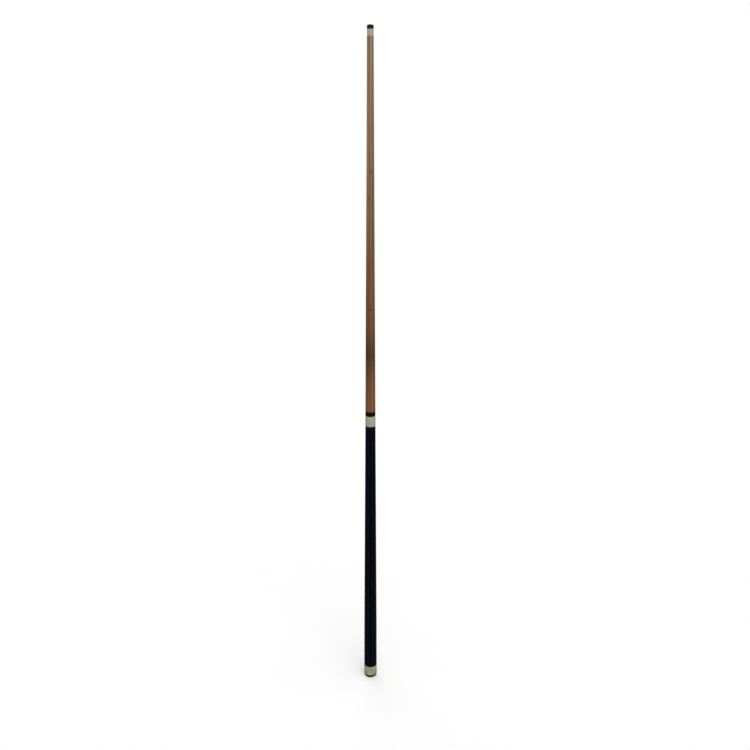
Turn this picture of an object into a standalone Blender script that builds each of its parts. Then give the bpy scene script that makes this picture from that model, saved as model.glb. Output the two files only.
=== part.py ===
"""A two-piece pool cue, standing upright on its bumper, in metres, +Z up.

The shaft half screws onto the steel pin of the butt half. The origin is the centre of
the bumper's underside. Every round piece is a profile turned about the cue's axis.
"""

import math

import bmesh
import bpy

MM = 0.001

# Heights of the parting planes above the bumper's underside, from the butt up
BUMPER_TOP = 6.4 * MM
BUTT_CAP_TOP = 30.0 * MM
SLEEVE_TOP = 150.0 * MM
HANDLE_TOP = 372.0 * MM
FOREARM_TOP = 646.3 * MM
JOINT_RING_TOP = 652.4 * MM
JOINT_FACE = 676.0 * MM
SHAFT_COLLAR_TOP = 686.8 * MM
SHAFT_WOOD_TOP = 1452.8 * MM
FERRULE_TOP = 1465.4 * MM
PAD_TOP = 1466.5 * MM
CUE_TOP = 1473.0 * MM

# Outer radii along the cue: it tapers straight in the shaft, and flattens towards the butt
BUTT_RADIUS = 14.7 * MM
SLEEVE_RADIUS = 14.35 * MM
JOINT_RADIUS = 10.8 * MM
TIP_RADIUS = 6.45 * MM
TAPER = (
    (0.0, BUTT_RADIUS),
    (BUTT_CAP_TOP, BUTT_RADIUS),
    (SLEEVE_TOP, SLEEVE_RADIUS),
    (JOINT_FACE, JOINT_RADIUS),
    (SHAFT_WOOD_TOP, TIP_RADIUS),
    (CUE_TOP, TIP_RADIUS),
)

GAP = 0.3 * MM
HALF_GAP = GAP / 2
EDGE = 0.4 * MM

# Joint thread: a 3/8 inch pin with ten threads to the inch
PITCH = 2.54 * MM
THREAD_CREST = 4.76 * MM
THREAD_ROOT = 3.75 * MM
CREST_HALF_WIDTH = 0.35 * MM
ROOT_HALF_WIDTH = 1.0 * MM
THREAD_CLEARANCE = 0.2 * MM
THREAD_START = 1.0 * MM
THREAD_TURNS = 9
PIN_NOSE = 29.5 * MM
PIN_DEPTH = 58.0 * MM
NOSE_CHAMFER = 1.6 * MM
INSERT_LENGTH = 26.0 * MM
INSERT_RADIUS = 6.4 * MM
JOINT_TENON_RADIUS = 8.2 * MM
PIN_BORE_TOP = 35.5 * MM

# Tip end
FERRULE_TENON_RADIUS = 4.3 * MM
FERRULE_ROOF = 2.6 * MM
TIP_WALL = 4.5 * MM
TIP_DOME_STEPS = 6

# Butt end
SCREW_RADIUS = 4.6 * MM
SCREW_BORE = SCREW_RADIUS + GAP
A_SCREW_REACH = 34.0 * MM
A_TENON_RADIUS = 8.0 * MM
A_TENON_LENGTH = 22.0 * MM
HANDLE_TENON_RADIUS = 9.6 * MM
CAP_FLOOR = 4.2 * MM
WEIGHT_BOTTOM = 48.0 * MM
WEIGHT_TOP = 138.0 * MM
SOCKET_RADIUS = 2.9 * MM
SOCKET_DEPTH = 5.0 * MM
BUMPER_ROUND = 2.6 * MM
BUMPER_INSET = 0.5 * MM
RECESS_RADIUS = 7.6 * MM
RECESS_DEPTH = 4.4 * MM
WASHER_RADIUS = 7.0 * MM
WASHER_THICKNESS = 0.8 * MM
BOLT_HEAD_RADIUS = 6.2 * MM
BOLT_HEAD_HEIGHT = 2.2 * MM
BOLT_TOP = 36.0 * MM

SEGMENTS = 32
THREAD_SEGMENTS = 24
SMOOTH_ANGLE = math.radians(35)
MERGE = 0.00001


def outer_radius(z):
    """The cue's outer radius at height z."""
    for (low, low_radius), (high, high_radius) in zip(TAPER, TAPER[1:]):
        if z <= high:
            share = (z - low) / (high - low)
            return low_radius + share * (high_radius - low_radius)
    return TAPER[-1][1]


def clear_scene():
    for thing in list(bpy.data.objects):
        bpy.data.objects.remove(thing, do_unlink=True)


def new_collection(name):
    collection = bpy.data.collections.new(name)
    bpy.context.scene.collection.children.link(collection)
    return collection


def material(name, colour, roughness, metallic=0.0):
    made = bpy.data.materials.new(name)
    made.use_nodes = True
    shader = made.node_tree.nodes["Principled BSDF"]
    shader.inputs["Base Color"].default_value = (*colour, 1.0)
    shader.inputs["Roughness"].default_value = roughness
    shader.inputs["Metallic"].default_value = metallic
    return made


def evaluated_mesh(thing):
    """The object's mesh with its modifiers applied."""
    graph = bpy.context.evaluated_depsgraph_get()
    return bpy.data.meshes.new_from_object(thing.evaluated_get(graph))


def settle(thing):
    """Applies the object's modifiers and removes doubled points."""
    mesh = evaluated_mesh(thing)
    thing.modifiers.clear()
    thing.data = mesh
    shape = bmesh.new()
    shape.from_mesh(mesh)
    bmesh.ops.remove_doubles(shape, verts=shape.verts, dist=MERGE)
    shape.to_mesh(mesh)
    shape.free()
    mesh.shade_smooth()
    mesh.set_sharp_from_angle(angle=SMOOTH_ANGLE)


def turned(name, profile, collection, segments=SEGMENTS):
    """A solid of revolution. The profile is (radius, height) points, round the outside from
    top to bottom, and back up the inside where the piece is hollow."""
    closed = all(radius > 0 for radius, _ in profile)
    count = len(profile)
    edges = [(i, i + 1) for i in range(count - 1)]
    if closed:
        edges.append((count - 1, 0))
    mesh = bpy.data.meshes.new(name)
    mesh.from_pydata([(radius, 0, z) for radius, z in profile], edges, [])
    piece = bpy.data.objects.new(name, mesh)
    collection.objects.link(piece)
    screw = piece.modifiers.new("turn", "SCREW")
    screw.axis = "Z"
    screw.steps = segments
    screw.render_steps = segments
    screw.use_merge_vertices = True
    screw.merge_threshold = MERGE
    settle(piece)
    return piece


def helical_ridge(name, bottom, turns, grown, collection):
    """A right-handed thread ridge, as one closed solid with flat ends. Grown makes it
    larger on every side, for cutting the matching groove."""
    inner = THREAD_ROOT - 2 * THREAD_CLEARANCE
    outer = THREAD_CREST + grown
    root = ROOT_HALF_WIDTH + grown
    crest = CREST_HALF_WIDTH + grown
    profile = ((inner, root), (outer, crest), (outer, -crest), (inner, -root))
    mesh = bpy.data.meshes.new(name)
    mesh.from_pydata(
        [(radius, 0, bottom + z) for radius, z in profile],
        [(0, 1), (1, 2), (2, 3), (3, 0)],
        [],
    )
    ridge = bpy.data.objects.new(name, mesh)
    collection.objects.link(ridge)
    screw = ridge.modifiers.new("wind", "SCREW")
    screw.axis = "Z"
    screw.screw_offset = PITCH
    screw.iterations = turns
    screw.steps = THREAD_SEGMENTS
    screw.render_steps = THREAD_SEGMENTS
    screw.use_merge_vertices = True
    screw.merge_threshold = MERGE
    settle(ridge)
    shape = bmesh.new()
    shape.from_mesh(ridge.data)
    ends = [edge for edge in shape.edges if edge.is_boundary]
    bmesh.ops.holes_fill(shape, edges=ends, sides=0)
    bmesh.ops.triangulate(shape, faces=shape.faces)
    bmesh.ops.recalc_face_normals(shape, faces=shape.faces)
    shape.to_mesh(ridge.data)
    shape.free()
    return ridge


def boolean(piece, cutter, operation):
    """Joins or cuts a piece with a helper, and keeps the helper hidden."""
    step = piece.modifiers.new(operation.lower(), "BOOLEAN")
    step.operation = operation
    step.solver = "EXACT"
    step.object = cutter
    cutter.hide_render = True
    cutter.display_type = "WIRE"
    settle(piece)


def hex_socket(piece, bottom, collection):
    """Cuts a hexagonal key socket up into a bolt from its lower end."""
    cutter = turned(
        piece.name + "_socket",
        [
            (0, bottom + SOCKET_DEPTH),
            (SOCKET_RADIUS, bottom + SOCKET_DEPTH),
            (SOCKET_RADIUS, bottom - GAP),
            (0, bottom - GAP),
        ],
        collection,
        segments=6,
    )
    boolean(piece, cutter, "DIFFERENCE")


def shell(name, bottom, top, bore, collection):
    """A tube that follows the cue's outer taper, with broken outer edges."""
    return turned(
        name,
        [
            (bore, top),
            (outer_radius(top) - EDGE, top),
            (outer_radius(top), top - EDGE),
            (outer_radius(bottom), bottom + EDGE),
            (outer_radius(bottom) - EDGE, bottom),
            (bore, bottom),
        ],
        collection,
    )


def leather_tip(parts):
    """A straight wall under a dome."""
    bottom = PAD_TOP + HALF_GAP
    rise = CUE_TOP - bottom - TIP_WALL
    # The dome is an arc through the tip's centre and the top of its wall
    radius = (TIP_RADIUS**2 + rise**2) / (2 * rise)
    sweep = math.asin(TIP_RADIUS / radius)
    dome = []
    for i in range(TIP_DOME_STEPS + 1):
        angle = sweep * i / TIP_DOME_STEPS
        dome.append((radius * math.sin(angle), CUE_TOP - radius * (1 - math.cos(angle))))
    return turned("leather_tip", dome + [(TIP_RADIUS, bottom), (0, bottom)], parts)


def tip_pad(parts):
    top = PAD_TOP - HALF_GAP
    bottom = FERRULE_TOP + HALF_GAP
    return turned(
        "tip_pad", [(0, top), (TIP_RADIUS, top), (TIP_RADIUS, bottom), (0, bottom)], parts
    )


def ferrule(parts):
    """A cap over the shaft's upper tenon."""
    top = FERRULE_TOP - HALF_GAP
    bottom = SHAFT_WOOD_TOP + HALF_GAP
    bore = FERRULE_TENON_RADIUS + GAP
    return turned(
        "ferrule",
        [
            (0, top),
            (TIP_RADIUS, top),
            (TIP_RADIUS, bottom),
            (bore, bottom),
            (bore, top - FERRULE_ROOF),
            (0, top - FERRULE_ROOF),
        ],
        parts,
    )


def shaft_wood(parts):
    """The tapered shaft: a tenon at each end, and a stepped bore for insert and pin."""
    roof = FERRULE_TOP - HALF_GAP - FERRULE_ROOF - GAP
    shoulder = SHAFT_WOOD_TOP - HALF_GAP
    heel = SHAFT_COLLAR_TOP + HALF_GAP
    face = JOINT_FACE + HALF_GAP
    seat = face + INSERT_LENGTH + GAP
    insert_bore = INSERT_RADIUS + GAP
    pin_bore = THREAD_CREST + GAP
    return turned(
        "shaft_wood",
        [
            (0, roof),
            (FERRULE_TENON_RADIUS - EDGE, roof),
            (FERRULE_TENON_RADIUS, roof - EDGE),
            (FERRULE_TENON_RADIUS, shoulder),
            (outer_radius(shoulder), shoulder),
            (outer_radius(heel), heel),
            (JOINT_TENON_RADIUS, heel),
            (JOINT_TENON_RADIUS, face),
            (insert_bore, face),
            (insert_bore, seat),
            (pin_bore, seat),
            (pin_bore, JOINT_FACE + PIN_BORE_TOP),
            (0, JOINT_FACE + PIN_BORE_TOP),
        ],
        parts,
    )


def shaft_insert(parts, cutters):
    """A brass bush with the internal thread that runs on the joint pin."""
    bottom = JOINT_FACE + HALF_GAP
    top = bottom + INSERT_LENGTH
    bore = THREAD_ROOT + THREAD_CLEARANCE
    flare = THREAD_CREST + 2 * THREAD_CLEARANCE
    lead = flare - bore
    piece = turned(
        "shaft_insert",
        [
            (bore, top),
            (INSERT_RADIUS - EDGE, top),
            (INSERT_RADIUS, top - EDGE),
            (INSERT_RADIUS, bottom + EDGE),
            (INSERT_RADIUS - EDGE, bottom),
            (flare, bottom),
            (bore, bottom + lead),
        ],
        parts,
        segments=THREAD_SEGMENTS,
    )
    start = JOINT_FACE + THREAD_START - 2 * PITCH
    turns = math.ceil((top - start) / PITCH) + 1
    groove = helical_ridge("insert_groove", start, turns, THREAD_CLEARANCE, cutters)
    boolean(piece, groove, "DIFFERENCE")
    return piece


def shaft_collar(parts):
    bottom = JOINT_FACE + HALF_GAP
    top = SHAFT_COLLAR_TOP - HALF_GAP
    return shell("shaft_collar", bottom, top, JOINT_TENON_RADIUS + GAP, parts)


def joint_pin(parts, cutters):
    """A plain shank in the forearm, a threaded length above the joint face, and a nose."""
    top = JOINT_FACE + PIN_NOSE
    neck = JOINT_FACE
    bottom = JOINT_FACE - PIN_DEPTH
    piece = turned(
        "joint_pin",
        [
            (0, top),
            (THREAD_ROOT - NOSE_CHAMFER, top),
            (THREAD_ROOT, top - NOSE_CHAMFER),
            (THREAD_ROOT, neck),
            (THREAD_CREST, neck - THREAD_START),
            (THREAD_CREST, bottom + EDGE),
            (THREAD_CREST - EDGE, bottom),
            (0, bottom),
        ],
        parts,
        segments=THREAD_SEGMENTS,
    )
    start = JOINT_FACE + THREAD_START
    ridge = helical_ridge("pin_ridge", start, THREAD_TURNS, 0.0, cutters)
    boolean(piece, ridge, "UNION")
    return piece


def joint_collar(parts):
    bottom = JOINT_RING_TOP + HALF_GAP
    top = JOINT_FACE - HALF_GAP
    return shell("joint_collar", bottom, top, JOINT_TENON_RADIUS + GAP, parts)


def joint_ring(parts):
    bottom = FOREARM_TOP + HALF_GAP
    top = JOINT_RING_TOP - HALF_GAP
    return shell("joint_ring", bottom, top, JOINT_TENON_RADIUS + GAP, parts)


def forearm(parts):
    """Tapered, with the collar's tenon and the pin's bore above, and a socket below."""
    face = JOINT_FACE - HALF_GAP
    shoulder = FOREARM_TOP - HALF_GAP
    heel = HANDLE_TOP + HALF_GAP
    pin_bore = THREAD_CREST + GAP
    pin_seat = JOINT_FACE - PIN_DEPTH - GAP
    socket = A_TENON_RADIUS + GAP
    socket_roof = HANDLE_TOP + A_TENON_LENGTH + GAP
    screw_seat = HANDLE_TOP + A_SCREW_REACH + GAP
    return turned(
        "forearm",
        [
            (0, pin_seat),
            (pin_bore, pin_seat),
            (pin_bore, face),
            (JOINT_TENON_RADIUS, face),
            (JOINT_TENON_RADIUS, shoulder),
            (outer_radius(shoulder), shoulder),
            (outer_radius(heel), heel),
            (socket, heel),
            (socket, socket_roof),
            (SCREW_BORE, socket_roof),
            (SCREW_BORE, screw_seat),
            (0, screw_seat),
        ],
        parts,
    )


def a_joint_screw(parts):
    """A plain steel stud across the joint of forearm and handle."""
    top = HANDLE_TOP + A_SCREW_REACH
    bottom = HANDLE_TOP - A_SCREW_REACH
    return turned(
        "a_joint_screw",
        [
            (0, top),
            (SCREW_RADIUS - EDGE, top),
            (SCREW_RADIUS, top - EDGE),
            (SCREW_RADIUS, bottom + EDGE),
            (SCREW_RADIUS - EDGE, bottom),
            (0, bottom),
        ],
        parts,
        segments=THREAD_SEGMENTS,
    )


def handle(parts):
    """The grip, with a tenon up into the forearm and a long tenon down to the cap."""
    tenon_top = HANDLE_TOP + A_TENON_LENGTH
    shoulder = HANDLE_TOP - HALF_GAP
    heel = SLEEVE_TOP + HALF_GAP
    foot = BUMPER_TOP + HALF_GAP + CAP_FLOOR + GAP
    upper_seat = HANDLE_TOP - A_SCREW_REACH - GAP
    lower_seat = WEIGHT_TOP + GAP
    return turned(
        "handle",
        [
            (0, upper_seat),
            (SCREW_BORE, upper_seat),
            (SCREW_BORE, tenon_top),
            (A_TENON_RADIUS, tenon_top),
            (A_TENON_RADIUS, shoulder),
            (outer_radius(shoulder), shoulder),
            (outer_radius(heel), heel),
            (HANDLE_TENON_RADIUS, heel),
            (HANDLE_TENON_RADIUS, foot),
            (SCREW_BORE, foot),
            (SCREW_BORE, lower_seat),
            (0, lower_seat),
        ],
        parts,
    )


def butt_sleeve(parts):
    bottom = BUTT_CAP_TOP + HALF_GAP
    top = SLEEVE_TOP - HALF_GAP
    bore = HANDLE_TENON_RADIUS + GAP
    return turned(
        "butt_sleeve",
        [
            (bore, top),
            (outer_radius(top), top),
            (outer_radius(bottom), bottom),
            (bore, bottom),
        ],
        parts,
    )


def butt_cap(parts):
    """A cup over the handle's tenon, with a floor that the bumper bolt passes through."""
    top = BUTT_CAP_TOP - HALF_GAP
    bottom = BUMPER_TOP + HALF_GAP
    bore = HANDLE_TENON_RADIUS + GAP
    floor = bottom + CAP_FLOOR
    return turned(
        "butt_cap",
        [
            (bore, top),
            (BUTT_RADIUS - EDGE, top),
            (BUTT_RADIUS, top - EDGE),
            (BUTT_RADIUS, bottom + EDGE),
            (BUTT_RADIUS - EDGE, bottom),
            (SCREW_BORE, bottom),
            (SCREW_BORE, floor),
            (bore, floor),
        ],
        parts,
    )


def weight_bolt(parts, cutters):
    piece = turned(
        "weight_bolt",
        [
            (0, WEIGHT_TOP),
            (SCREW_RADIUS - EDGE, WEIGHT_TOP),
            (SCREW_RADIUS, WEIGHT_TOP - EDGE),
            (SCREW_RADIUS, WEIGHT_BOTTOM + EDGE),
            (SCREW_RADIUS - EDGE, WEIGHT_BOTTOM),
            (0, WEIGHT_BOTTOM),
        ],
        parts,
        segments=THREAD_SEGMENTS,
    )
    hex_socket(piece, WEIGHT_BOTTOM, cutters)
    return piece


def bumper(parts):
    """A rubber puck with a rounded lower edge and a recess for the bolt's head."""
    top = BUMPER_TOP - HALF_GAP
    rim = BUTT_RADIUS - BUMPER_INSET
    arc = []
    for degrees in (0, 22.5, 45, 67.5, 90):
        angle = math.radians(degrees)
        arc.append(
            (
                rim - BUMPER_ROUND * (1 - math.cos(angle)),
                BUMPER_ROUND * (1 - math.sin(angle)),
            )
        )
    return turned(
        "bumper",
        [(SCREW_BORE, top), (rim, top)]
        + arc
        + [(RECESS_RADIUS, 0), (RECESS_RADIUS, RECESS_DEPTH), (SCREW_BORE, RECESS_DEPTH)],
        parts,
    )


def bumper_washer(parts):
    top = RECESS_DEPTH - GAP
    bottom = top - WASHER_THICKNESS
    return turned(
        "bumper_washer",
        [
            (SCREW_BORE, top),
            (WASHER_RADIUS, top),
            (WASHER_RADIUS, bottom),
            (SCREW_BORE, bottom),
        ],
        parts,
    )


def bumper_bolt(parts, cutters):
    """A low-headed socket bolt, up through washer, bumper and cap into the handle."""
    head_top = RECESS_DEPTH - GAP - WASHER_THICKNESS - GAP
    head_bottom = head_top - BOLT_HEAD_HEIGHT
    piece = turned(
        "bumper_bolt",
        [
            (0, BOLT_TOP),
            (SCREW_RADIUS - EDGE, BOLT_TOP),
            (SCREW_RADIUS, BOLT_TOP - EDGE),
            (SCREW_RADIUS, head_top),
            (BOLT_HEAD_RADIUS, head_top),
            (BOLT_HEAD_RADIUS, head_bottom + EDGE),
            (BOLT_HEAD_RADIUS - EDGE, head_bottom),
            (0, head_bottom),
        ],
        parts,
        segments=THREAD_SEGMENTS,
    )
    hex_socket(piece, head_bottom, cutters)
    return piece


def main():
    clear_scene()
    parts = new_collection("pool_cue")
    cutters = new_collection("cutters")

    leather = material("tip_leather", (0.02, 0.021, 0.021), 0.85)
    fibre = material("black_fibre", (0.015, 0.015, 0.015), 0.6)
    ivory = material("ivory_plastic", (0.62, 0.58, 0.42), 0.25)
    black = material("black_plastic", (0.012, 0.012, 0.013), 0.12)
    maple = material("maple", (0.42, 0.22, 0.11), 0.3)
    navy = material("navy_lacquer", (0.008, 0.01, 0.024), 0.1)
    brass = material("brass", (0.72, 0.52, 0.22), 0.3, metallic=1.0)
    steel = material("steel", (0.55, 0.56, 0.57), 0.28, metallic=1.0)
    rubber = material("rubber", (0.01, 0.01, 0.01), 0.8)

    made = (
        (leather_tip(parts), leather),
        (tip_pad(parts), fibre),
        (ferrule(parts), ivory),
        (shaft_wood(parts), maple),
        (shaft_insert(parts, cutters), brass),
        (shaft_collar(parts), black),
        (joint_pin(parts, cutters), steel),
        (joint_collar(parts), ivory),
        (joint_ring(parts), black),
        (forearm(parts), navy),
        (a_joint_screw(parts), steel),
        (handle(parts), navy),
        (butt_sleeve(parts), navy),
        (butt_cap(parts), ivory),
        (weight_bolt(parts, cutters), steel),
        (bumper(parts), rubber),
        (bumper_washer(parts), steel),
        (bumper_bolt(parts, cutters), steel),
    )
    for piece, finish in made:
        piece.data.materials.clear()
        piece.data.materials.append(finish)


main()
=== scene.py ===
"""The looks of a two-piece pool cue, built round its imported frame. Metres, +Z up.

Almost every piece is turned again about the cue's axis, finer than the frame's solid,
and every piece gets a material made of nodes. The joint's pin and insert share one
right-handed thread.
"""

import math

import bmesh
import bpy
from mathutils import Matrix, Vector, noise


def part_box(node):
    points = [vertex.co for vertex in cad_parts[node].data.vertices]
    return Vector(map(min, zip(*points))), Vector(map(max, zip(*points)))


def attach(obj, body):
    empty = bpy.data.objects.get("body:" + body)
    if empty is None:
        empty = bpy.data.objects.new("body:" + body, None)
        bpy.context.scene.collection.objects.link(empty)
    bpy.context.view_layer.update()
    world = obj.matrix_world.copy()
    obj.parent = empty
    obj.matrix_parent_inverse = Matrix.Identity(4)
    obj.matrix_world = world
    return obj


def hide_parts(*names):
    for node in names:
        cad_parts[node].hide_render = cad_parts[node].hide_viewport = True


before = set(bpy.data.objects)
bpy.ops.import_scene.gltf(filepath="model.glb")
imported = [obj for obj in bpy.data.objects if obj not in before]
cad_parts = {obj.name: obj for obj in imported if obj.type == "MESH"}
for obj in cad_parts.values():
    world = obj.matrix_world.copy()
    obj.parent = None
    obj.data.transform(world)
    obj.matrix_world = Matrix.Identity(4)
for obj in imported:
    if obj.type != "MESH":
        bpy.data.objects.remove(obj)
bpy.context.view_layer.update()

MM = 0.001


def top(node):
    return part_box(node)[1].z


def bottom(node):
    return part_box(node)[0].z


def half_width(node):
    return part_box(node)[1].x


# Parting planes, from the tip down; the frame's solids stop half a gap short of each
HALF_GAP = (bottom("leather_tip") - top("tip_pad")) / 2
CUE_TOP = top("leather_tip")
PAD_TOP = top("tip_pad") + HALF_GAP
FERRULE_TOP = top("ferrule") + HALF_GAP
WOOD_TOP = bottom("ferrule") - HALF_GAP
COLLAR_TOP = top("shaft_collar") + HALF_GAP
JOINT_FACE = top("joint_collar") + HALF_GAP
RING_TOP = top("joint_ring") + HALF_GAP
FOREARM_TOP = bottom("joint_ring") - HALF_GAP
HANDLE_TOP = bottom("forearm") - HALF_GAP
SLEEVE_TOP = top("butt_sleeve") + HALF_GAP
CAP_TOP = top("butt_cap") + HALF_GAP
BUMPER_TOP = top("bumper") + HALF_GAP

# The outer taper
TIP_RADIUS = half_width("ferrule")
TAPER = (
    (0.0, half_width("butt_cap")),
    (CAP_TOP, half_width("butt_cap")),
    (SLEEVE_TOP, half_width("handle")),
    (JOINT_FACE, half_width("shaft_collar")),
    (WOOD_TOP, TIP_RADIUS),
    (CUE_TOP, TIP_RADIUS),
)

# Fits, finer here than in the frame
SEAM = 0.015 * MM
GLUE = 0.04 * MM
TURNING_FIT = 0.1 * MM
GLUED_EDGE = 0.06 * MM
OPEN_EDGE = 0.35 * MM
EDGE_SUPPORT = 0.25 * MM

# Joint thread: a 3/8 inch pin with ten threads to the inch
PITCH = 2.54 * MM
THREAD_CREST = half_width("joint_pin")
THREAD_ROOT = 3.75 * MM
CREST_HALF_WIDTH = 0.35 * MM
ROOT_HALF_WIDTH = 1.0 * MM
THREAD_CLEARANCE = 0.2 * MM
THREAD_START = 1.0 * MM
THREAD_END = 24.9 * MM
NOSE_CHAMFER = 1.6 * MM
ROWS_PER_TURN = 16

# How steeply the ridge grows out of the root at the joint's face, and fades at the nose
THREAD_RISE = 1.2
THREAD_FALL = 0.7

# Tenons and bores
FERRULE_TENON = 4.3 * MM
FERRULE_ROOF = 2.6 * MM
JOINT_TENON = 8.2 * MM
PIN_BORE_DEPTH = 35.5 * MM
A_TENON = 8.0 * MM
A_TENON_LENGTH = 22.0 * MM
HANDLE_TENON = 9.6 * MM
SCREW_RADIUS = half_width("weight_bolt")
CAP_FLOOR = 4.2 * MM

# Tip
TIP_WALL = 4.5 * MM
TIP_INSET = 0.02 * MM
TIP_LAYERS = 8
RINGS_PER_LAYER = 5
CROWN_RINGS = 25
TIP_SWELL = 0.08 * MM
SCUFF_DEPTH = 0.035 * MM

# Bumper, and the bolt under it
BUMPER_INSET = 0.5 * MM
BUMPER_ROUND = 2.6 * MM
BUMPER_TOP_EDGE = 0.3 * MM
RECESS_RADIUS = 7.6 * MM
RECESS_DEPTH = 4.4 * MM
RECESS_EDGE = 0.4 * MM
MOULD_LINE = 0.12 * MM
MOULD_LINE_HEIGHT = 0.08 * MM
SOCKET_RADIUS = 2.9 * MM
SOCKET_DEPTH = 5.0 * MM
SOCKET_LEAD = 0.25 * MM
SOCKET_POINT = 0.8 * MM
BOLT_EDGE = 0.45 * MM
WASHER_EDGE = 0.2 * MM

SEGMENTS = 96
SMOOTH_ANGLE = math.radians(32)

# Camera
EYE_PLACE = (0.0086, -2.042, 1.586)
LOOK_DOWN = math.radians(21.81)
ROLL = math.radians(-0.078)
LENS = 49.92
SENSOR_WIDTH = 36.0

# Lights: name, direction to the light, strength, and width in degrees
LIGHTS = (
    ("overhead", (0.10, -0.17, 1.0), 1.25, 36),
    ("key", (0.24, -1.0, 0.28), 1.38, 60),
    ("back", (-0.4, 1.0, 0.28), 1.3, 60),
)

FLOOR_RADIUS = 400

# Greys of the sky by height, greys of the strips below it by nearness to a diagonal, and
# how far below the horizon the strips take over
SKY_GREYS = ((0.14, 1.0), (0.5, 0.35))
STRIP_GREYS = ((0.80, 0.04), (0.98, 0.38))
SKY_TO_STRIPS = ((0.04, 0.0), (0.14, 1.0))

# Marks in the shaft's wood. Flecks: angle, height, width, length and strength
FLECKS = (
    (13, 1.200, 3.4 * MM, 12 * MM, 0.95),
    (-15, 1.147, 4.0 * MM, 16 * MM, 0.80),
    (24, 1.053, 3.4 * MM, 9 * MM, 0.60),
    (6, 0.916, 4.8 * MM, 8 * MM, 0.80),
    (-20, 1.010, 2.4 * MM, 6 * MM, 0.60),
    (150, 1.270, 3.0 * MM, 11 * MM, 0.90),
    (205, 1.105, 3.4 * MM, 15 * MM, 0.80),
    (95, 0.990, 3.0 * MM, 10 * MM, 0.70),
    (250, 0.870, 3.6 * MM, 12 * MM, 0.80),
)

# Dark streaks down the shaft: angle, lower and upper end, and strength
DARK_STREAKS = (
    (-11, 0.930, 1.520, 0.85),
    (16, 1.240, 1.410, 0.55),
    (36, 0.930, 1.520, 0.70),
    (128, 1.010, 1.390, 0.45),
    (228, 0.760, 1.230, 0.50),
)
STREAK_WANDER = 0.3 * MM

# A scuff low on the cap, given as a fleck is
CAP_SCUFFS = ((38, 0.0125, 5 * MM, 3.5 * MM, 0.8),)

# Dirt on the pale resin, also used for painted shade at its two ends
GRIME_AND_SHADE = (0.17, 0.15, 0.115)


def smooth(share):
    """Eases a share from 0 to 1, level at both ends."""
    share = min(max(share, 0), 1)
    return share * share * (3 - 2 * share)


def outer_radius(z):
    """The cue's outer radius at height z."""
    for (low, low_radius), (high, high_radius) in zip(TAPER, TAPER[1:]):
        if z <= high:
            share = (z - low) / (high - low)
            return low_radius + share * (high_radius - low_radius)
    return TIP_RADIUS


# --- Turned meshes ---


def ring(shape, radius, z):
    """A level ring of points, or the one point on the axis. The radius may be a function
    of the angle."""
    if radius == 0:
        return [shape.verts.new((0, 0, z))]
    points = []
    for i in range(SEGMENTS):
        angle = math.tau * i / SEGMENTS
        r = radius(angle) if callable(radius) else radius
        points.append(shape.verts.new((r * math.cos(angle), r * math.sin(angle), z)))
    return points


def face_of(shape, corners):
    """A face on the corners that differ, if there are three."""
    corners = list(dict.fromkeys(corners))
    if len(corners) > 2:
        shape.faces.new(corners)


def bridge(shape, first, second):
    """Faces between two rings, either of which may be a point."""
    for i in range(SEGMENTS):
        j = (i + 1) % SEGMENTS
        face_of(
            shape,
            [
                first[i % len(first)],
                first[j % len(first)],
                second[j % len(second)],
                second[i % len(second)],
            ],
        )


def turn(shape, profile, start=None, end=None):
    """Turns a profile of (radius, height) points, joined on to the rings given."""
    rings = [start] if start else []
    rings += [ring(shape, radius, z) for radius, z in profile]
    if end:
        rings.append(end)
    for first, second in zip(rings, rings[1:]):
        bridge(shape, first, second)
    return rings


def turned(profile):
    """A closed shape turned from a profile that ends on the axis, or meets itself."""
    shape = bmesh.new()
    rings = turn(shape, profile)
    if len(rings[0]) > 1:
        bridge(shape, rings[-1], rings[0])
    return shape


def thread_share(angle, z, grown=0.0):
    """How high the thread's ridge stands at this place, from 0 at the root to 1."""
    turns = (z - JOINT_FACE - THREAD_START) / PITCH - angle / math.tau
    off_ridge = abs(turns - round(turns)) * PITCH
    return smooth((ROOT_HALF_WIDTH + grown - off_ridge) / (ROOT_HALF_WIDTH - CREST_HALF_WIDTH))


def threaded_wall(shape, low, high, radius_at):
    """A wall whose rows of points follow the thread, cut level at both ends. Returns its
    lower and upper rings."""
    rows = math.ceil(((high - low) / PITCH + 1) * ROWS_PER_TURN)
    columns = []
    for i in range(SEGMENTS):
        angle = math.tau * i / SEGMENTS
        column, last = [], None
        for j in range(rows + 1):
            z = low + PITCH * (j / ROWS_PER_TURN + i / SEGMENTS - 1)
            z = min(max(z, low), high)
            if z != last:
                r = radius_at(angle, z)
                point = shape.verts.new((r * math.cos(angle), r * math.sin(angle), z))
                last = z
            column.append(point)
        columns.append(column)
    for i, column in enumerate(columns):
        beside = columns[(i + 1) % SEGMENTS]
        shift = ROWS_PER_TURN if i == SEGMENTS - 1 else 0
        for j in range(rows):
            near, far = min(j + shift, rows), min(j + 1 + shift, rows)
            face_of(shape, [column[j], beside[near], beside[far], column[j + 1]])
    return [column[0] for column in columns], [column[-1] for column in columns]


def arc(centre_radius, centre_z, size, start, end, steps=4):
    """Profile points round an edge, between two angles in degrees, 0 outwards, 90 up."""
    points = []
    for i in range(steps + 1):
        angle = math.radians(start + (end - start) * i / steps)
        points.append(
            (centre_radius + size * math.cos(angle), centre_z + size * math.sin(angle))
        )
    return points


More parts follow.
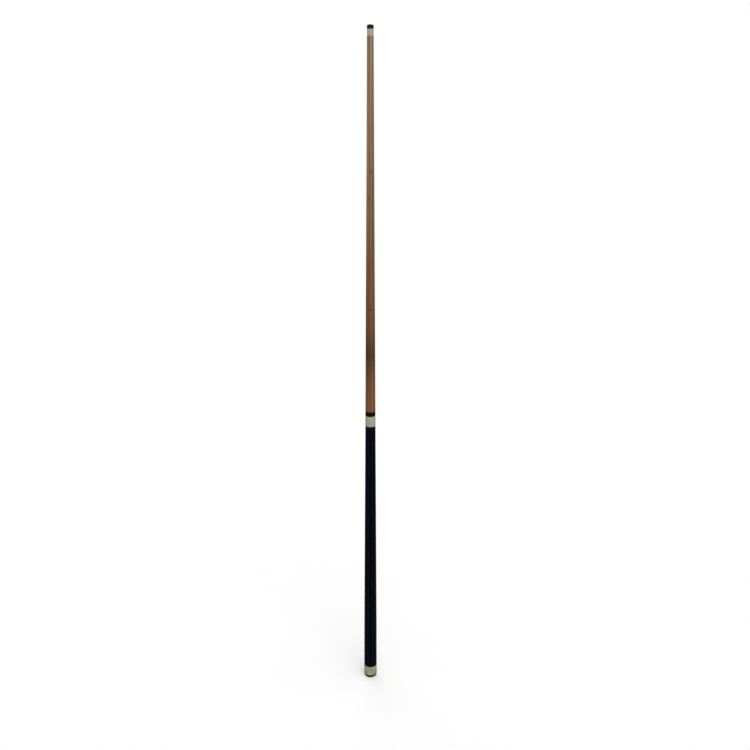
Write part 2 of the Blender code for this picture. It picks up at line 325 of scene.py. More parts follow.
def outer_wall(low, high, low_edge, high_edge):
    """Profile down the cue's outer taper, with a rounded edge at each end. A point on
    either side of each edge keeps its soft shading off the long wall and the flat end."""
    high_radius, low_radius = outer_radius(high), outer_radius(low)
    wall_top = high - high_edge - EDGE_SUPPORT
    wall_foot = low + low_edge + EDGE_SUPPORT
    return (
        [(high_radius - high_edge - EDGE_SUPPORT, high)]
        + arc(high_radius - high_edge, high - high_edge, high_edge, 90, 0)
        + [(outer_radius(wall_top), wall_top), (outer_radius(wall_foot), wall_foot)]
        + arc(low_radius - low_edge, low + low_edge, low_edge, 0, -90)
        + [(low_radius - low_edge - EDGE_SUPPORT, low)]
    )


def finish_piece(name, shape, body, finish, bare=None):
    """Makes the object, and lets it stand for its CAD node. Faces that lie inside the
    cue's outer wall take the bare finish, where there is one."""
    bmesh.ops.recalc_face_normals(shape, faces=shape.faces)
    if bare:
        for face in shape.faces:
            middle = face.calc_center_median()
            inside = outer_radius(middle.z) - Vector((middle.x, middle.y)).length
            face.material_index = int(inside > OPEN_EDGE)
    mesh = bpy.data.meshes.new(name)
    shape.to_mesh(mesh)
    shape.free()
    mesh.shade_smooth()
    mesh.set_sharp_from_angle(angle=SMOOTH_ANGLE)
    mesh.materials.append(finish)
    if bare:
        mesh.materials.append(bare)
    piece = bpy.data.objects.new(name + "_fine", mesh)
    bpy.context.scene.collection.objects.link(piece)
    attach(piece, body)
    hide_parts(name)
    return piece


# --- Materials ---


class Nodes:
    """A node tree under construction, with the place that its patterns are read at."""

    def __init__(self, tree, coordinates):
        self.tree = tree
        self.place = tree.nodes.new("ShaderNodeTexCoord").outputs[coordinates]

    def feed(self, socket, value):
        """Joins a socket to another, or sets it to a number or colour."""
        if isinstance(value, bpy.types.NodeSocket):
            self.tree.links.new(value, socket)
        elif isinstance(value, tuple) and len(value) == 3 and socket.type == "RGBA":
            socket.default_value = (*value, 1.0)
        else:
            socket.default_value = value

    def math(self, operation, *values):
        node = self.tree.nodes.new("ShaderNodeMath")
        node.operation = operation
        for socket, value in zip(node.inputs, values):
            self.feed(socket, value)
        return node.outputs[0]

    def axis(self, name):
        """The X, Y or Z coordinate."""
        node = self.tree.nodes.new("ShaderNodeSeparateXYZ")
        self.feed(node.inputs[0], self.place)
        return node.outputs[name]

    def ramp(self, value, stops, interpolation="LINEAR"):
        """Colours by value. Stops are (position, colour), in order."""
        node = self.tree.nodes.new("ShaderNodeValToRGB")
        node.color_ramp.interpolation = interpolation
        elements = node.color_ramp.elements
        for element, (position, colour) in zip(elements, (stops[0], stops[-1])):
            element.position = position
            element.color = (*colour, 1.0)
        for position, colour in stops[1:-1]:
            elements.new(position).color = (*colour, 1.0)
        self.feed(node.inputs[0], value)
        return node.outputs[0]

    def grey_ramp(self, value, stops):
        """Greys by value, eased from stop to stop."""
        return self.ramp(value, [(position, 3 * (grey,)) for position, grey in stops], "EASE")

    def mix(self, share, first, second, blend="MIX"):
        node = self.tree.nodes.new("ShaderNodeMix")
        node.data_type = "RGBA"
        node.blend_type = blend
        self.feed(node.inputs[0], share)
        self.feed(node.inputs[6], first)
        self.feed(node.inputs[7], second)
        return node.outputs[2]


class Finish(Nodes):
    """A material under construction. Its patterns keep to the piece's own coordinates."""

    def __init__(self, name, roughness, specular=0.5, metallic=0.0):
        self.material = bpy.data.materials.new(name)
        self.material.use_nodes = True
        super().__init__(self.material.node_tree, "Object")
        self.shader = self.tree.nodes["Principled BSDF"]
        self.shader.inputs["Roughness"].default_value = roughness
        self.shader.inputs["Specular IOR Level"].default_value = specular
        self.shader.inputs["Metallic"].default_value = metallic

    def scaled(self, stretch):
        node = self.tree.nodes.new("ShaderNodeMapping")
        self.feed(node.inputs["Vector"], self.place)
        node.inputs["Scale"].default_value = stretch
        return node.outputs[0]

    def noise(self, scale, stretch=(1, 1, 1), detail=2.0, roughness=0.5):
        """Noise from 0 to 1. Scale is in features to the metre."""
        node = self.tree.nodes.new("ShaderNodeTexNoise")
        self.feed(node.inputs["Vector"], self.scaled(stretch))
        node.inputs["Scale"].default_value = scale
        node.inputs["Detail"].default_value = detail
        node.inputs["Roughness"].default_value = roughness
        return node.outputs[0]

    def span(self, value, low, high, to_low=0.0, to_high=1.0, interpolation="SMOOTHSTEP"):
        """Maps a range of values to another, smoothly unless told otherwise."""
        node = self.tree.nodes.new("ShaderNodeMapRange")
        node.interpolation_type = interpolation
        for name, given in (
            ("Value", value),
            ("From Min", low),
            ("From Max", high),
            ("To Min", to_low),
            ("To Max", to_high),
        ):
            self.feed(node.inputs[name], given)
        return node.outputs[0]

    def shade(self, colour, amount):
        """Multiplies a colour by an amount."""
        return self.mix(1.0, colour, amount, "MULTIPLY")

    def colour(self, value):
        self.feed(self.shader.inputs["Base Color"], value)

    def roughness(self, value):
        self.feed(self.shader.inputs["Roughness"], value)

    def bump(self, height, distance):
        """Relief of this depth in metres."""
        node = self.tree.nodes.new("ShaderNodeBump")
        node.inputs["Distance"].default_value = distance
        self.feed(node.inputs["Height"], height)
        self.feed(self.shader.inputs["Normal"], node.outputs[0])


def grain(finish):
    """Growth lines, fibres and flecks along Z. Returns their darkening, from about 0.6
    to 1.1, and the fibres alone."""
    wander = finish.noise(35, (1, 1, 0.12), detail=1)
    slant = finish.math("MULTIPLY", finish.axis("Y"), 0.45)
    across = finish.math("ADD", finish.axis("X"), slant)
    across = finish.math("ADD", across, finish.math("MULTIPLY", wander, 9 * MM))
    phase = finish.math("FRACT", finish.math("DIVIDE", across, 2.3 * MM))
    late_wood = finish.span(phase, 0.55, 1.0)
    fibre = finish.noise(1300, (1, 1, 0.012), detail=3)
    streak = finish.noise(260, (1, 1, 0.012), detail=2)
    fleck = finish.span(finish.noise(620, (1, 1, 0.11), detail=1), 0.70, 0.78)
    shading = finish.span(fibre, 0.25, 0.75, 0.92, 1.06)
    shading = finish.math("MULTIPLY", shading, finish.span(streak, 0.3, 0.7, 0.80, 1.14))
    shading = finish.math("MULTIPLY", shading, finish.span(late_wood, 0, 1, 1.04, 0.86))
    shading = finish.math("MULTIPLY", shading, finish.span(fleck, 0, 1, 1.0, 0.62))
    return shading, fibre


def surface_point(degrees, z):
    """A point on the cue's surface, by its angle from -Y towards +X and its height."""
    angle = math.radians(degrees)
    radius = outer_radius(z)
    return Vector((radius * math.sin(angle), -radius * math.cos(angle), z))


def spot(finish, degrees, z, width, height, depth):
    """A small mark with ragged edges at a place on the surface, from 0 to its depth."""
    place = surface_point(degrees, z)
    node = finish.tree.nodes.new("ShaderNodeVectorMath")
    node.operation = "DISTANCE"
    finish.feed(node.inputs[0], finish.scaled((1 / width, 1 / width, 1 / height)))
    node.inputs[1].default_value = (place.x / width, place.y / width, place.z / height)
    ragged = finish.noise(900, (1, 1, 0.15), detail=3)
    distance = finish.math("ADD", node.outputs["Value"], ragged)
    return finish.span(distance, 0.75, 1.05, depth, 0.0)


def dark_streak(finish, degrees, low, high, depth):
    """A thin line along the wood, which wanders a little and fades at its ends, from 0
    to its depth."""
    middle, reach = (low + high) / 2, (high - low) / 2
    place = surface_point(degrees, middle)
    along = finish.noise(9, (0, 0, 1), detail=2)
    wander = finish.span(along, 0.3, 0.7, -STREAK_WANDER, STREAK_WANDER)
    across = finish.math("SUBTRACT", finish.math("SUBTRACT", finish.axis("X"), place.x), wander)
    inward = finish.math("SUBTRACT", finish.axis("Y"), place.y)
    off = finish.math(
        "MAXIMUM",
        finish.math("ABSOLUTE", across),
        finish.math("MULTIPLY", finish.math("ABSOLUTE", inward), 0.3),
    )
    from_middle = finish.math("ABSOLUTE", finish.math("SUBTRACT", finish.axis("Z"), middle))
    line = finish.span(off, 0.4 * MM, 1.3 * MM, depth, 0.0)
    return finish.math("MULTIPLY", line, finish.span(from_middle, 0.7 * reach, reach, 1, 0))


def maple():
    """Oiled maple, warmer and darker towards the joint, darkest in a band a little above it."""
    finish = Finish("maple", 0.38, specular=0.22)
    shading, fibre = grain(finish)
    height = finish.span(finish.axis("Z"), COLLAR_TOP, WOOD_TOP, interpolation="LINEAR")
    tone = finish.ramp(
        height,
        (
            (0.0, (0.237, 0.100, 0.040)),
            (0.09, (0.211, 0.089, 0.038)),
            (0.17, (0.099, 0.043, 0.017)),
            (0.26, (0.185, 0.081, 0.035)),
            (0.34, (0.192, 0.088, 0.039)),
            (0.42, (0.232, 0.112, 0.052)),
            (0.51, (0.276, 0.148, 0.070)),
            (0.62, (0.300, 0.170, 0.087)),
            (0.74, (0.366, 0.220, 0.126)),
            (0.90, (0.380, 0.248, 0.144)),
            (1.0, (0.332, 0.240, 0.145)),
        ),
    )
    colour = finish.shade(tone, shading)
    dark = finish.shade(colour, (0.50, 0.36, 0.26))
    for mark in DARK_STREAKS:
        colour = finish.mix(dark_streak(finish, *mark), colour, dark)
    for mark in FLECKS:
        colour = finish.mix(spot(finish, *mark), colour, dark)
    finish.colour(colour)
    finish.roughness(finish.span(finish.noise(45, detail=3), 0.3, 0.7, 0.33, 0.44))
    finish.bump(fibre, 0.02 * MM)
    return finish.material


def bare_maple():
    """Unfinished wood, on tenons and in bores, with glue stains."""
    finish = Finish("bare_maple", 0.7, specular=0.3)
    shading, fibre = grain(finish)
    stain = finish.span(finish.noise(160, detail=3), 0.52, 0.66)
    tone = finish.mix(stain, (0.46, 0.31, 0.18), (0.30, 0.18, 0.09))
    finish.colour(finish.shade(tone, shading))
    finish.bump(fibre, 0.05 * MM)
    return finish.material


def navy_lacquer():
    """Clear gloss over a navy stain, with a little orange peel and handling marks. Along the
    butt its colour carries painted reflection and painted shade, bluest near the joint.
    """
    finish = Finish("navy_lacquer", 0.2, specular=0.12)
    # Painted reflection and painted shade by height: greyest a little below the middle, bluest
    # near the joint
    height = finish.span(finish.axis("Z"), CAP_TOP, FOREARM_TOP)
    tone = finish.ramp(
        height,
        (
            (0.0, (0.0006, 0.0030, 0.0058)),
            (0.4, (0.0012, 0.0022, 0.0034)),
            (0.7, (0.0008, 0.0025, 0.0070)),
            (1.0, (0.0020, 0.0023, 0.0085)),
        ),
    )
    mottle = finish.span(finish.noise(70, (1, 1, 0.3), detail=3), 0.3, 0.7, 0.85, 1.15)
    pores = finish.span(finish.noise(1500, (1, 1, 0.03), detail=2), 0.35, 0.65, 0.85, 1.1)
    finish.colour(finish.shade(finish.shade(tone, mottle), pores))
    smudge = finish.noise(38, (1, 1, 0.5), detail=4)
    finish.roughness(finish.span(smudge, 0.35, 0.7, 0.18, 0.27))
    finish.bump(finish.noise(420, detail=1), 0.012 * MM)
    return finish.material


def ivory_plastic(name, node, low_tone, high_tone, stained, scuffs=()):
    """Aged ivory-coloured resin with faint turning marks, stained in patches and specked with
    dirt, with painted shade at its two ends where the next piece meets it."""
    finish = Finish(name, 0.28, specular=0.3)
    middle = (top(node) + bottom(node)) / 2
    reach = (top(node) - bottom(node)) / 2
    height = finish.span(finish.axis("Z"), bottom(node), top(node))
    tone = finish.mix(height, low_tone, high_tone)
    off_middle = finish.math("ABSOLUTE", finish.math("SUBTRACT", finish.axis("Z"), middle))
    edge = finish.span(off_middle, reach - 0.5 * MM, reach)
    patch = finish.span(finish.noise(110, (1, 1, 0.6), detail=3), 0.42, 0.68)
    speck = finish.span(finish.noise(1400, detail=2), 0.66, 0.78)
    colour = finish.mix(patch, tone, stained)
    colour = finish.mix(finish.math("MULTIPLY", speck, 0.35), colour, GRIME_AND_SHADE)
    # Painted shade within half a millimetre of each end, where the next piece meets it
    colour = finish.mix(finish.math("MULTIPLY", edge, 0.3), colour, GRIME_AND_SHADE)
    for scuff in scuffs:
        colour = finish.mix(spot(finish, *scuff), colour, GRIME_AND_SHADE)
    finish.colour(colour)
    finish.roughness(finish.span(finish.noise(90, detail=4), 0.3, 0.7, 0.22, 0.36))
    finish.bump(finish.noise(60, (1, 1, 45), detail=2), 0.008 * MM)
    return finish.material


def ferrule_ivory():
    return ivory_plastic(
        "ferrule_ivory",
        "ferrule",
        low_tone=(0.50, 0.43, 0.36),
        high_tone=(0.43, 0.435, 0.355),
        stained=(0.41, 0.40, 0.315),
    )


def collar_ivory():
    return ivory_plastic(
        "collar_ivory",
        "joint_collar",
        low_tone=(0.46, 0.437, 0.322),
        high_tone=(0.47, 0.442, 0.33),
        stained=(0.41, 0.385, 0.275),
    )


def cap_ivory():
    return ivory_plastic(
        "cap_ivory",
        "butt_cap",
        low_tone=(0.385, 0.388, 0.275),
        high_tone=(0.378, 0.386, 0.252),
        stained=(0.29, 0.31, 0.155),
        scuffs=CAP_SCUFFS,
    )


def black_plastic():
    """Polished black resin. It has no marks that would show whether it turns."""
    finish = Finish("black_plastic", 0.14, specular=0.3)
    lines = finish.noise(40, (0, 0, 60), detail=3)
    stops = ((0.3, (0.003, 0.003, 0.003)), (0.7, (0.006, 0.006, 0.006)))
    finish.colour(finish.ramp(lines, stops))
    finish.roughness(finish.span(lines, 0.3, 0.7, 0.12, 0.22))
    return finish.material


def leather():
    """Dark pressed leather in layers, with chalk rubbed into the crown."""
    finish = Finish("tip_leather", 0.82, specular=0.2)
    fibres = finish.noise(1500, detail=4, roughness=0.65)
    tone = finish.ramp(
        fibres,
        (
            (0.3, (0.006, 0.006, 0.006)),
            (0.55, (0.014, 0.0135, 0.0135)),
            (0.75, (0.030, 0.029, 0.028)),
        ),
    )
    crown = finish.span(finish.axis("Z"), PAD_TOP + TIP_WALL, CUE_TOP, 0.0, 0.75)
    chalk = finish.span(finish.noise(700, detail=3), 0.42, 0.62)
    chalk = finish.math("MULTIPLY", chalk, crown)
    finish.colour(finish.mix(chalk, tone, (0.085, 0.105, 0.110)))
    finish.bump(fibres, 0.06 * MM)
    return finish.material


def black_fibre():
    """Vulcanised fibre, pressed flat."""
    finish = Finish("black_fibre", 0.6, specular=0.2)
    fibres = finish.noise(900, (1, 1, 5), detail=4)
    stops = ((0.3, (0.008, 0.008, 0.008)), (0.7, (0.022, 0.021, 0.021)))
    finish.colour(finish.ramp(fibres, stops))
    finish.bump(fibres, 0.02 * MM)
    return finish.material


def rubber():
    """Moulded rubber, dusty low down."""
    finish = Finish("rubber", 0.75, specular=0.15)
    dust = finish.span(finish.noise(320, detail=4), 0.45, 0.75)
    low = finish.span(finish.axis("Z"), 4 * MM, 0.0, 0.05, 0.35)
    dusty = finish.math("MULTIPLY", dust, low)
    finish.colour(finish.mix(dusty, (0.009, 0.009, 0.009), (0.050, 0.046, 0.041)))
    finish.bump(finish.noise(1600, detail=3), 0.03 * MM)
    return finish.material


def turned_metal(name, dark, bright, dull, ring_scale, patch_scale=130, patch_end=0.72,
                 tarnish=0.6, polish=0.22):
    """Metal with fine rings from the lathe, dulled in patches. Polish is the roughness
    where it is brightest."""
    finish = Finish(name, 0.3, metallic=1.0)
    rings = finish.noise(ring_scale, (0.05, 0.05, 3), detail=3)
    patches = finish.span(finish.noise(patch_scale, detail=4), 0.45, patch_end)
    tone = finish.ramp(rings, ((0.3, dark), (0.7, bright)))
    finish.colour(finish.mix(finish.math("MULTIPLY", patches, tarnish), tone, dull))
    wear = finish.noise(220, detail=3)
    finish.roughness(finish.span(wear, 0.3, 0.7, polish, polish + 0.18))
    finish.bump(rings, 0.01 * MM)
    return finish.material


def pin_steel():
    return turned_metal(
        "pin_steel",
        dark=(0.533, 0.533, 0.525),
        bright=(0.62, 0.62, 0.61),
        dull=(0.36, 0.35, 0.33),
        ring_scale=700,
    )


def zinc_plate():
    return turned_metal(
        "zinc_plate",
        dark=(0.43, 0.439, 0.447),
        bright=(0.50, 0.51, 0.52),
        dull=(0.24, 0.23, 0.22),
        ring_scale=300,
    )


def brass():
    return turned_metal(
        "brass",
        dark=(0.62, 0.43, 0.17),
        bright=(0.76, 0.56, 0.25),
        dull=(0.34, 0.22, 0.10),
        ring_scale=500,
        patch_scale=150,
        patch_end=0.70,
        tarnish=0.5,
        polish=0.24,
    )


# --- Pieces ---


def leather_tip(finish):
    """A domed crown on a layered wall. The layers stand a little proud between their
    glue lines, and the crown is scuffed to hold chalk."""
    base = PAD_TOP + SEAM
    rise = CUE_TOP - base - TIP_WALL
    dome_radius = (TIP_RADIUS**2 + rise**2) / (2 * rise)
    sweep = math.asin(TIP_RADIUS / dome_radius)
    profile = []
    for i in range(CROWN_RINGS):
        angle = sweep * i / CROWN_RINGS
        fall = dome_radius * (1 - math.cos(angle))
        profile.append((dome_radius * math.sin(angle), CUE_TOP - fall))
    steps = TIP_LAYERS * RINGS_PER_LAYER
    for i in range(steps + 1):
        share = i / steps
        in_layer = abs(math.sin(math.pi * TIP_LAYERS * share)) ** 0.4
        swell = TIP_SWELL * (0.4 * in_layer + math.sin(math.pi * share))
        profile.append((TIP_RADIUS - TIP_INSET + swell, base + TIP_WALL * (1 - share)))
    profile.append((0, base))
    shape = turned(profile)
    for point in shape.verts:
        if point.co.z > base + TIP_WALL * 0.98:
            coarse = noise.noise(point.co / (0.9 * MM))
            fine = noise.noise(point.co / (0.35 * MM))
            point.co.z += SCUFF_DEPTH * (coarse + 0.5 * fine - 0.6)
    return finish_piece("leather_tip", shape, "shaft", finish)


def tip_pad(finish):
    wall = outer_wall(FERRULE_TOP + SEAM, PAD_TOP - SEAM, GLUED_EDGE, GLUED_EDGE)
    shape = turned([(0, PAD_TOP - SEAM)] + wall + [(0, FERRULE_TOP + SEAM)])
    return finish_piece("tip_pad", shape, "shaft", finish)


def ferrule(finish):
    """A capped tube on the shaft's upper tenon."""
    high, low = FERRULE_TOP - SEAM, WOOD_TOP + SEAM
    bore = FERRULE_TENON + GLUE
    roof = FERRULE_TOP - FERRULE_ROOF
    wall = outer_wall(low, high, GLUED_EDGE, 2 * GLUED_EDGE)
    shape = turned([(0, high)] + wall + [(bore, low), (bore, roof), (0, roof)])
    return finish_piece("ferrule", shape, "shaft", finish)


def shaft_wood(finish, bare):
    """The tapered shaft, with a tenon at each end and a stepped bore in the lower one."""
    face = JOINT_FACE + HALF_GAP
    seat = top("shaft_insert") + GLUE
    insert_bore = half_width("shaft_insert") + GLUE
    pin_bore = THREAD_CREST + 2 * THREAD_CLEARANCE
    roof = JOINT_FACE + PIN_BORE_DEPTH
    tenon_top = FERRULE_TOP - FERRULE_ROOF - GLUE
    shape = turned(
        [(0, tenon_top)]
        + arc(FERRULE_TENON - OPEN_EDGE, tenon_top - OPEN_EDGE, OPEN_EDGE, 90, 0)
        + [(FERRULE_TENON, WOOD_TOP - SEAM)]
        + outer_wall(COLLAR_TOP + SEAM, WOOD_TOP - SEAM, GLUED_EDGE, GLUED_EDGE)
        + [
            (JOINT_TENON, COLLAR_TOP + SEAM),
            (JOINT_TENON, face),
            (insert_bore, face),
            (insert_bore, seat),
            (pin_bore, seat),
            (pin_bore, roof),
            (0, roof),
        ]
    )
    return finish_piece("shaft_wood", shape, "shaft", finish, bare)


def shaft_insert(finish):
    """A brass bush. Its groove clears the pin's ridge by the same amount all over."""
    low, high = bottom("shaft_insert"), top("shaft_insert")
    radius = half_width("shaft_insert")
    flare = THREAD_CREST + 2 * THREAD_CLEARANCE

    def bore(angle, z):
        share = thread_share(angle, z, grown=THREAD_CLEARANCE)
        grooved = THREAD_ROOT + THREAD_CLEARANCE + share * (THREAD_CREST - THREAD_ROOT)
        return max(grooved, flare - (z - low))

    shape = bmesh.new()
    lower, upper = threaded_wall(shape, low, high, bore)
    outside = arc(radius - OPEN_EDGE, high - OPEN_EDGE, OPEN_EDGE, 90, 0)
    outside += arc(radius - OPEN_EDGE, low + OPEN_EDGE, OPEN_EDGE, 0, -90)
    turn(shape, outside, start=upper, end=lower)
    return finish_piece("shaft_insert", shape, "shaft", finish)


def sleeve(low, high, bore, low_edge=GLUED_EDGE, high_edge=GLUED_EDGE):
    """The shape of a ring that follows the outer taper, round a tenon."""
    wall = outer_wall(low, high, low_edge, high_edge)
    return turned([(bore, high)] + wall + [(bore, low)])


def shaft_collar(finish):
    low, high = JOINT_FACE + 2 * SEAM, COLLAR_TOP - SEAM
    shape = sleeve(low, high, JOINT_TENON + TURNING_FIT, low_edge=OPEN_EDGE)
    return finish_piece("shaft_collar", shape, "collar", finish)


def joint_collar(finish):
    low, high = RING_TOP + SEAM, JOINT_FACE - 2 * SEAM
    shape = sleeve(low, high, JOINT_TENON + GLUE, high_edge=OPEN_EDGE)
    return finish_piece("joint_collar", shape, "butt", finish)


def joint_ring(finish):
    shape = sleeve(FOREARM_TOP + SEAM, RING_TOP - SEAM, JOINT_TENON + GLUE)
    return finish_piece("joint_ring", shape, "butt", finish)


def joint_pin(finish):
    """A rounded nose, a threaded length that fades out at both ends, and a plain shank."""
    high, low = top("joint_pin"), bottom("joint_pin")
    thread_top = JOINT_FACE + THREAD_END

    def wall(angle, z):
        ridge = thread_share(angle, z) * (THREAD_CREST - THREAD_ROOT)
        rise, fall = THREAD_RISE * (z - JOINT_FACE), THREAD_FALL * (thread_top - z)
        return THREAD_ROOT + min(ridge, rise, fall)

    shape = bmesh.new()
    lower, upper = threaded_wall(shape, JOINT_FACE, thread_top, wall)
    nose = arc(THREAD_ROOT - NOSE_CHAMFER, high - NOSE_CHAMFER, NOSE_CHAMFER, 90, 0, steps=8)
    turn(shape, [(0, high)] + nose, end=upper)
    shank = [(THREAD_CREST, JOINT_FACE - THREAD_START)]
    shank += arc(THREAD_CREST - OPEN_EDGE, low + OPEN_EDGE, OPEN_EDGE, 0, -90)
    turn(shape, shank + [(0, low)], start=lower)
    return finish_piece("joint_pin", shape, "butt", finish)


def forearm(finish, bare):
    face = JOINT_FACE - HALF_GAP
    shoulder, heel = FOREARM_TOP - SEAM, HANDLE_TOP + SEAM
    pin_bore = THREAD_CREST + GLUE
    pin_seat = bottom("joint_pin") - GLUE
    socket, screw_bore = A_TENON + GLUE, SCREW_RADIUS + GLUE
    socket_roof = HALF_GAP + HANDLE_TOP + A_TENON_LENGTH
    screw_seat = top("a_joint_screw") + GLUE
    shape = turned(
        [(0, pin_seat), (pin_bore, pin_seat), (pin_bore, face), (JOINT_TENON, face)]
        + [(JOINT_TENON, shoulder)]
        + outer_wall(heel, shoulder, GLUED_EDGE, GLUED_EDGE)
        + [(socket, heel), (socket, socket_roof), (screw_bore, socket_roof)]
        + [(screw_bore, screw_seat), (0, screw_seat)]
    )
    return finish_piece("forearm", shape, "butt", finish, bare)


def handle(finish, bare):
    """The grip, with a tenon up into the forearm and a long one down into the cap."""
    shoulder, heel = HANDLE_TOP - SEAM, SLEEVE_TOP + SEAM
    screw_bore = SCREW_RADIUS + GLUE
    upper_seat = bottom("a_joint_screw") - GLUE
    lower_seat = top("weight_bolt") + GLUE
    tenon_top = HANDLE_TOP + A_TENON_LENGTH
    foot = BUMPER_TOP + SEAM + CAP_FLOOR + GLUE
    shape = turned(
        [(0, upper_seat), (screw_bore, upper_seat), (screw_bore, tenon_top)]
        + [(A_TENON, tenon_top), (A_TENON, shoulder)]
        + outer_wall(heel, shoulder, GLUED_EDGE, GLUED_EDGE)
        + [(HANDLE_TENON, heel), (HANDLE_TENON, foot), (screw_bore, foot)]
        + [(screw_bore, lower_seat), (0, lower_seat)]
    )
    return finish_piece("handle", shape, "butt", finish, bare)


def butt_sleeve(finish, bare):
    shape = sleeve(CAP_TOP + SEAM, SLEEVE_TOP - SEAM, HANDLE_TENON + GLUE)
    return finish_piece("butt_sleeve", shape, "butt", finish, bare)


def butt_cap(finish):
    """A cup over the handle's tenon. The bumper's bolt passes through its floor."""
    high, low = CAP_TOP - SEAM, BUMPER_TOP + SEAM
    bore, hole = HANDLE_TENON + GLUE, SCREW_RADIUS + GLUE
    floor = low + CAP_FLOOR
    wall = outer_wall(low, high, OPEN_EDGE, GLUED_EDGE)
    shape = turned([(bore, high)] + wall + [(hole, low), (hole, floor), (bore, floor)])
    return finish_piece("butt_cap", shape, "butt", finish)


def bumper(finish):
    """A puck with a rounded foot, a fine moulding line, and a recess for the bolt."""
    high = BUMPER_TOP - SEAM
    rim = outer_radius(0) - BUMPER_INSET
    line = (high + BUMPER_ROUND) / 2
    hole = SCREW_RADIUS + GLUE
    shape = turned(
        [(hole, high)]
        + arc(rim - BUMPER_TOP_EDGE, high - BUMPER_TOP_EDGE, BUMPER_TOP_EDGE, 90, 0)
        + [(rim, line + MOULD_LINE), (rim + MOULD_LINE_HEIGHT, line), (rim, line - MOULD_LINE)]
        + arc(rim - BUMPER_ROUND, BUMPER_ROUND, BUMPER_ROUND, 0, -90, steps=14)
        + arc(RECESS_RADIUS + RECESS_EDGE, RECESS_EDGE, RECESS_EDGE, -90, -180)
        + arc(RECESS_RADIUS - RECESS_EDGE, RECESS_DEPTH - RECESS_EDGE, RECESS_EDGE, 0, 90)
        + [(hole, RECESS_DEPTH)]
    )
    return finish_piece("bumper", shape, "butt", finish)


def bumper_washer(finish):
    low, high = bottom("bumper_washer"), top("bumper_washer") + HALF_GAP
    radius = half_width("bumper_washer")
    hole = SCREW_RADIUS + GLUE
    shape = turned(
        arc(radius - WASHER_EDGE, high - WASHER_EDGE, WASHER_EDGE, 90, 0)
        + arc(radius - WASHER_EDGE, low + WASHER_EDGE, WASHER_EDGE, 0, -90)
        + arc(hole + WASHER_EDGE, low + WASHER_EDGE, WASHER_EDGE, -90, -180)
        + [(hole, high)]
    )
    return finish_piece("bumper_washer", shape, "butt", finish)


def hexagon(radius):
    """A hexagon as a radius by angle."""
    flat = radius * math.cos(math.pi / 6)
    return lambda angle: flat / math.cos((angle % (math.pi / 3)) - math.pi / 6)


def socket_profile(low):
    """The key socket that goes up into a bolt from its lower end, with a broken edge."""
    return [
        (hexagon(SOCKET_RADIUS + SOCKET_LEAD), low),
        (hexagon(SOCKET_RADIUS), low + SOCKET_LEAD),
        (hexagon(SOCKET_RADIUS), low + SOCKET_DEPTH),
        (0, low + SOCKET_DEPTH + SOCKET_POINT),
    ]


def bumper_bolt(finish):
    """A low head with a key socket, seen from below, and a plain shank."""
    high, low = top("bumper_bolt"), bottom("bumper_bolt")
    head = half_width("bumper_bolt")
    head_top = bottom("bumper_washer") - SEAM
    shape = turned(
        [(0, high)]
        + arc(SCREW_RADIUS - BOLT_EDGE, high - BOLT_EDGE, BOLT_EDGE, 90, 0)
        + [(SCREW_RADIUS, head_top), (head, head_top)]
        + arc(head - BOLT_EDGE, low + BOLT_EDGE, BOLT_EDGE, 0, -90)
        + socket_profile(low)
    )
    return finish_piece("bumper_bolt", shape, "butt", finish)


def make_cue():
    wood, bare, navy = maple(), bare_maple(), navy_lacquer()
    black, zinc = black_plastic(), zinc_plate()

    leather_tip(leather())
    tip_pad(black_fibre())
    ferrule(ferrule_ivory())
    shaft_wood(wood, bare)
    shaft_insert(brass())
    shaft_collar(black)
    joint_pin(pin_steel())
    joint_collar(collar_ivory())
    joint_ring(black)
    forearm(navy, bare)
    handle(navy, bare)
    butt_sleeve(navy, bare)
    butt_cap(cap_ivory())
    bumper(rubber())
    bumper_washer(zinc)
    bumper_bolt(zinc)
    for node in ("a_joint_screw", "weight_bolt"):
        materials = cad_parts[node].data.materials
        materials.clear()
        materials.append(zinc)


# --- Stage ---


def camera():
    data = bpy.data.cameras.new("camera")
    data.lens = LENS
    data.sensor_width = SENSOR_WIDTH
    eye = bpy.data.objects.new("camera", data)
    eye.location = EYE_PLACE
    eye.rotation_euler = (math.pi / 2 - LOOK_DOWN, ROLL, 0)
    bpy.context.scene.collection.objects.link(eye)
    bpy.context.scene.camera = eye


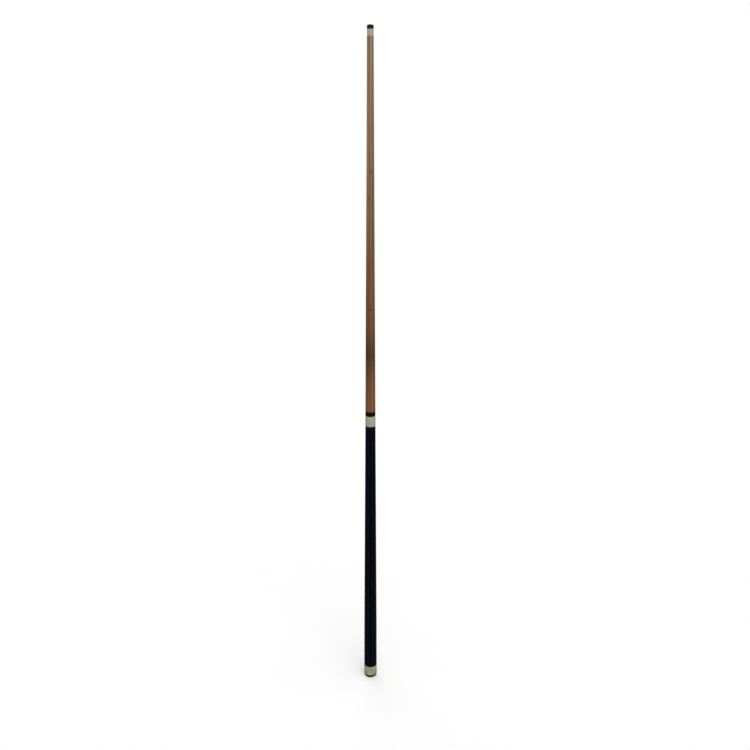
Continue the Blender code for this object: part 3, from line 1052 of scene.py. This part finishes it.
def soft_light(name, direction, strength, spread):
    """A light from far off in this direction, as wide as the spread in degrees."""
    data = bpy.data.lights.new(name, "SUN")
    data.energy = strength
    data.angle = math.radians(spread)
    lamp = bpy.data.objects.new(name, data)
    lamp.rotation_euler = Vector(direction).to_track_quat("Z", "Y").to_euler()
    bpy.context.scene.collection.objects.link(lamp)


def floor():
    """A pale floor. It takes the cue's shadow, but throws no light or reflection back on
    it, so the cue keeps its shading and dark lacquer stays dark."""
    mesh = bpy.data.meshes.new("floor")
    shape = bmesh.new()
    bmesh.ops.create_circle(shape, cap_ends=True, radius=FLOOR_RADIUS, segments=SEGMENTS)
    shape.to_mesh(mesh)
    shape.free()
    finish = Finish("floor", 0.9, specular=0.0)
    stops = ((0.3, (0.956, 0.956, 0.953)), (0.7, (0.964, 0.964, 0.961)))
    finish.colour(finish.ramp(finish.noise(3, detail=2), stops))
    mesh.materials.append(finish.material)
    plane = bpy.data.objects.new("floor", mesh)
    plane.visible_diffuse = False
    plane.visible_glossy = False
    bpy.context.scene.collection.objects.link(plane)


def sky():
    """White at the horizon and grey overhead. Well below the horizon, where only
    reflections look, it is dark with a soft upright strip in each quarter."""
    world = bpy.data.worlds.new("studio")
    world.use_nodes = True
    nodes = Nodes(world.node_tree, "Generated")
    x, y, z = nodes.axis("X"), nodes.axis("Y"), nodes.axis("Z")
    level = nodes.math("SUBTRACT", 1.0, nodes.math("MULTIPLY", z, z))
    diagonal = nodes.math("DIVIDE", nodes.math("MULTIPLY", x, y), level)
    nearness = nodes.math("MULTIPLY", nodes.math("ABSOLUTE", diagonal), 2.0)
    above = nodes.grey_ramp(z, SKY_GREYS)
    strips = nodes.grey_ramp(nearness, STRIP_GREYS)
    how_low = nodes.grey_ramp(nodes.math("MULTIPLY", z, -1.0), SKY_TO_STRIPS)
    background = world.node_tree.nodes["Background"]
    nodes.feed(background.inputs["Color"], nodes.mix(how_low, above, strips))
    bpy.context.scene.world = world


def stage():
    bpy.context.scene.view_settings.view_transform = "Standard"
    camera()
    sky()
    floor()
    for light in LIGHTS:
        soft_light(*light)


stage()
make_cue()
